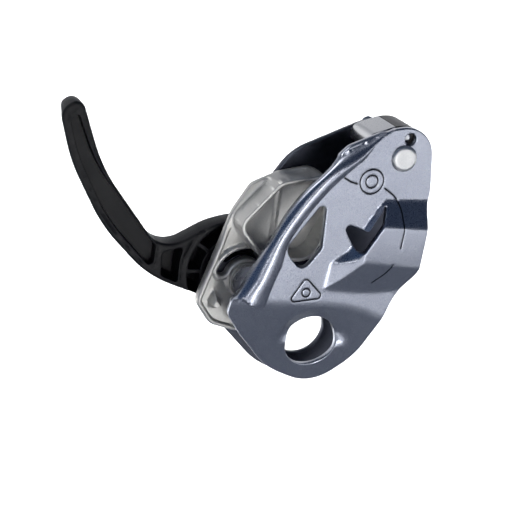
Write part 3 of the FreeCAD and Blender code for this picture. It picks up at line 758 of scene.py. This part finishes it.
class Nodes:
    """A node material under construction."""

    def __init__(self, name):
        self.material = bpy.data.materials.new(name)
        self.material.use_nodes = True
        self.tree = self.material.node_tree
        self.tree.nodes.clear()
        self.out = self.tree.nodes.new("ShaderNodeOutputMaterial")
        self.coords = self.tree.nodes.new("ShaderNodeTexCoord").outputs["Object"]

    def add(self, kind, inputs=(), **settings):
        return add_node(self.tree, kind, inputs, **settings)

    def noise(self, scale, detail=2.0, stretch=(1, 1, 1), rough=0.5):
        """Noise from 0 to 1 whose features are about 1/scale metres."""
        where = self.add("Mapping", {"Vector": self.coords, "Scale": stretch}).outputs[0]
        made = self.add("TexNoise", {"Vector": where, "Scale": scale, "Detail": detail, "Roughness": rough})
        return made.outputs[0]

    def fit(self, value, low, high, to_low, to_high):
        made = self.add("MapRange", {"Value": value, "From Min": low, "From Max": high,
                                     "To Min": to_low, "To Max": to_high})
        return made.outputs[0]

    def math(self, operation, a, b=0.0):
        return self.add("Math", {0: a, 1: b}, operation=operation).outputs[0]

    def mix(self, factor, a, b):
        made = self.add("MixRGB", {"Fac": factor, "Color1": a, "Color2": b})
        return made.outputs[0]

    def bump(self, height, strength, depth):
        return self.add("Bump", {"Height": height, "Strength": strength, "Distance": depth}).outputs[0]

    def finish(self, **inputs):
        sockets = {key.replace("_", " "): value for key, value in inputs.items()}
        shader = self.add("BsdfPrincipled", sockets)
        self.tree.links.new(shader.outputs[0], self.out.inputs["Surface"])
        return self.material


def rgb(r, g, b):
    return (r, g, b, 1.0)


def edge_wear(nodes, low, high):
    """0 on flat ground, 1 on convex edges."""
    pointed = nodes.add("NewGeometry").outputs["Pointiness"]
    return nodes.fit(pointed, low, high, 0.0, 1.0)


def lacquered_steel():
    """Blue-grey metallic lacquer with a clear coat, rubbed edges and blackened engraving."""
    n = Nodes("lacquered_steel")
    cloud = n.noise(60, 3)
    fleck = n.noise(5200, 2)
    scuff = n.noise(900, 6, (1.0, 1.0, 0.06), 0.7)
    tint = n.mix(n.fit(cloud, 0.35, 0.65, 0, 1), rgb(0.285, 0.305, 0.365), rgb(0.32, 0.34, 0.40))
    tint = n.mix(n.fit(fleck, 0.45, 0.72, 0, 0.55), tint, rgb(0.50, 0.51, 0.55))
    rub = n.math("MULTIPLY", edge_wear(n, 0.56, 0.66), n.fit(n.noise(420, 5), 0.4, 0.6, 0.25, 1.0))
    tint = n.mix(rub, tint, rgb(0.60, 0.60, 0.61))
    groove = n.add("Attribute", attribute_name="groove").outputs["Fac"]
    tint = n.mix(groove, tint, rgb(0.012, 0.013, 0.018))
    rough = n.math("ADD", n.fit(fleck, 0.3, 0.7, 0.24, 0.33), n.fit(scuff, 0.62, 0.8, 0.0, 0.10))
    normal = n.bump(fleck, 0.10, 0.00004)
    coat = n.bump(n.noise(330, 3), 0.10, 0.00012)
    return n.finish(Base_Color=tint, Metallic=1.0, Roughness=rough, Normal=normal,
                    Coat_Weight=0.75, Coat_Roughness=n.fit(scuff, 0.55, 0.8, 0.08, 0.28), Coat_Normal=coat)


def blasted_steel(name, light, dark, roughness, grain=3800, depth=0.00005, metal=1.0):
    """Satin metal with a blasted or tumbled skin and rubbed edges."""
    n = Nodes(name)
    fine = n.noise(grain, 4)
    blot = n.noise(140, 4)
    tint = n.mix(n.fit(blot, 0.35, 0.65, 0, 1), rgb(*dark), rgb(*light))
    tint = n.mix(n.fit(fine, 0.3, 0.7, 0.0, 0.35), tint, rgb(*[c * 1.25 for c in light]))
    tint = n.mix(n.math("MULTIPLY", edge_wear(n, 0.54, 0.64), 0.6), tint, rgb(0.72, 0.71, 0.69))
    rough = n.math("ADD", n.fit(fine, 0.3, 0.7, roughness - 0.05, roughness + 0.06),
                   n.fit(blot, 0.3, 0.7, -0.03, 0.04))
    return n.finish(Base_Color=tint, Metallic=metal, Roughness=rough, Normal=n.bump(fine, 0.35, depth))


def moulded_nylon(name, base, roughness):
    """Dull plastic with a fine leathery skin."""
    n = Nodes(name)
    leather = n.noise(2600, 4)
    blot = n.noise(160, 3)
    tint = n.mix(n.fit(blot, 0.3, 0.7, 0, 1), rgb(*base), rgb(*[c * 1.45 for c in base]))
    tint = n.mix(n.math("MULTIPLY", edge_wear(n, 0.54, 0.66), 0.35), tint, rgb(0.05, 0.05, 0.053))
    rough = n.math("ADD", n.fit(leather, 0.3, 0.7, roughness - 0.05, roughness + 0.08),
                   n.fit(blot, 0.3, 0.7, -0.04, 0.05))
    return n.finish(Base_Color=tint, Roughness=rough, Specular_IOR_Level=0.2,
                    Normal=n.bump(leather, 0.45, 0.00006))


LACQUER = lacquered_steel()
CAM_STEEL = blasted_steel("cast_cam_steel", (0.55, 0.54, 0.51), (0.46, 0.455, 0.435),
                          roughness=0.42, grain=3000, depth=0.00008, metal=0.85)
SATIN = blasted_steel("satin_steel", (0.62, 0.63, 0.65), (0.52, 0.53, 0.55),
                      roughness=0.30, grain=5200, depth=0.00003)
SPACER_NYLON = moulded_nylon("spacer_nylon", (0.045, 0.042, 0.040), roughness=0.34)
BRIGHT = blasted_steel("tumbled_rivet_steel", (0.70, 0.70, 0.69), (0.58, 0.58, 0.57),
                       roughness=0.40, grain=1800, depth=0.00014)
SPRING = blasted_steel("spring_wire", (0.50, 0.50, 0.50), (0.42, 0.42, 0.42), roughness=0.22)
BRONZE = blasted_steel("bush_bronze", (0.62, 0.44, 0.22), (0.50, 0.34, 0.16), roughness=0.36)
BLACK_NYLON = moulded_nylon("black_nylon", (0.004, 0.004, 0.005), roughness=0.42)
BACK_LACQUER = blasted_steel("back_plate_lacquer", (0.075, 0.079, 0.096), (0.054, 0.058, 0.072),
                             roughness=0.34, grain=4200, depth=0.00003)

FINISHES = {
    "moving_side_plate": LACQUER, "fixed_side_plate": BACK_LACQUER, "pivot_rivet": BRIGHT,
    "pivot_washer": SATIN, "pivot_spacer": SPACER_NYLON, "friction_plate": SATIN,
    "friction_plate_pins": BRIGHT, "detent_plunger": SATIN, "detent_spring": SPRING,
    "cam": CAM_STEEL, "cam_bush": BRONZE, "cam_washer": SATIN, "cam_return_spring": SPRING,
    "cam_axle": SATIN, "handle": BLACK_NYLON, "handle_bush": BRONZE, "handle_washer": SATIN,
    "handle_drive_pin": BRIGHT, "handle_return_spring": SPRING, "axle_retaining_ring": SPRING,
    "handle_hub_cap": BLACK_NYLON,
}


def finish_with(obj, material):
    obj.data.materials.clear()
    obj.data.materials.append(material)


for node, material in FINISHES.items():
    finish_with(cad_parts[node], material)

finish_with(build_plate(), LACQUER)
finish_with(build_fixed_plate(), BACK_LACQUER)
finish_with(build_rivet(), BRIGHT)
finish_with(build_cam(), CAM_STEEL)
finish_with(build_handle(), BLACK_NYLON)


# ------------------------------------------------------------ floor and light
FLOOR_LEVEL = -0.6
FLOOR_REACH = 9
NAVY = rgb(0.042, 0.060, 0.104)
LEFT_BLUE = rgb(0.035, 0.078, 0.165)
HORIZON = rgb(0.95, 0.96, 1.0)


def floor():
    mesh = bpy.data.meshes.new("studio_floor")
    low, high = -FLOOR_REACH, FLOOR_REACH
    corners = [(low, low), (high, low), (high, high), (low, high)]
    mesh.from_pydata([(x, y, FLOOR_LEVEL) for x, y in corners], [], [(0, 1, 2, 3)])
    obj = bpy.data.objects.new("studio_floor", mesh)
    bpy.context.scene.collection.objects.link(obj)
    n = Nodes("pale_floor")
    tint = n.mix(n.noise(3, 2), rgb(0.80, 0.80, 0.81), rgb(0.84, 0.84, 0.845))
    obj.data.materials.append(n.finish(Base_Color=tint, Roughness=0.8, Specular_IOR_Level=0.1))


def softbox(name, place, target, size, power, spread, roll=0.0):
    """A rectangular light; spread and roll in degrees."""
    light = bpy.data.lights.new(name, "AREA")
    light.shape = "RECTANGLE"
    light.size, light.size_y = size
    light.energy = power
    light.spread = math.radians(spread)
    obj = bpy.data.objects.new(name, light)
    bpy.context.scene.collection.objects.link(obj)
    obj.location = place
    aim = (Vector(target) - Vector(place)).to_track_quat("-Z", "Y")
    obj.rotation_euler = (aim @ Quaternion((0, 0, 1), math.radians(roll))).to_euler()


def studio_world():
    """Bright band behind the object near the horizon, dim navy elsewhere and bluer on the left."""
    world = bpy.data.worlds.new("studio")
    bpy.context.scene.world = world
    world.use_nodes = True
    tree = world.node_tree
    tree.nodes.clear()

    def add(kind, inputs=(), **settings):
        return add_node(tree, kind, inputs, **settings)

    def fade(value, start, end):
        """0 up to start and 1 from end on."""
        made = add("MapRange", {"Value": value, "From Min": start, "From Max": end,
                                "To Min": 0.0, "To Max": 1.0}, interpolation_type="SMOOTHSTEP")
        return made.outputs[0]

    axes = add("SeparateXYZ", {"Vector": add("TexCoord").outputs["Generated"]}).outputs
    band = fade(axes[2], 0.62, 0.34)
    behind = fade(axes[1], 0.0, 0.55)
    share = add("Math", {0: band, 1: behind}, operation="MULTIPLY").outputs[0]
    left = fade(axes[0], -0.15, -0.75)
    blue = add("MixRGB", {"Fac": left, "Color1": NAVY, "Color2": LEFT_BLUE}).outputs[0]
    colour = add("MixRGB", {"Fac": share, "Color1": blue, "Color2": HORIZON}).outputs[0]
    sky = add("Background", {"Color": colour, "Strength": 1.0})
    out = add("OutputWorld")
    tree.links.new(sky.outputs[0], out.inputs[0])


# Four lights shine down on the floor round the object, because the metal mirrors the floor.
WASH_LEVEL = 0.9
WASH_SPREAD = 46
WASH = {                             # x, y, width and depth in metres, and the power in watts
    "back": (0.0, 2.85, 5.6, 4.4, 200), "right": (3.3, -0.2, 3.8, 5.0, 75),
    "left": (-3.3, -0.2, 3.8, 5.0, 75), "front": (0.3, -3.35, 6.0, 4.4, 135),
}

floor()
studio_world()
softbox("strip_front", (0.02, -1.0, -0.10), (0, 0, 0.04), (0.10, 0.8), power=0.25, spread=50)
softbox("strip_lip", (-0.36, -0.76, 0.20), (0, 0, 0.03), (0.03, 0.62), power=0.085, spread=60, roll=-37)
softbox("fill", (-0.45, 0.25, 0.85), (0, 0, 0.03), (0.5, 0.5), power=1.5, spread=120)
for side, (x, y, wide, deep, power) in WASH.items():
    softbox(side + "_wash", (x, y, WASH_LEVEL), (x, y, FLOOR_LEVEL), (wide, deep), power, WASH_SPREAD)
bpy.context.scene.view_settings.view_transform = "Standard"
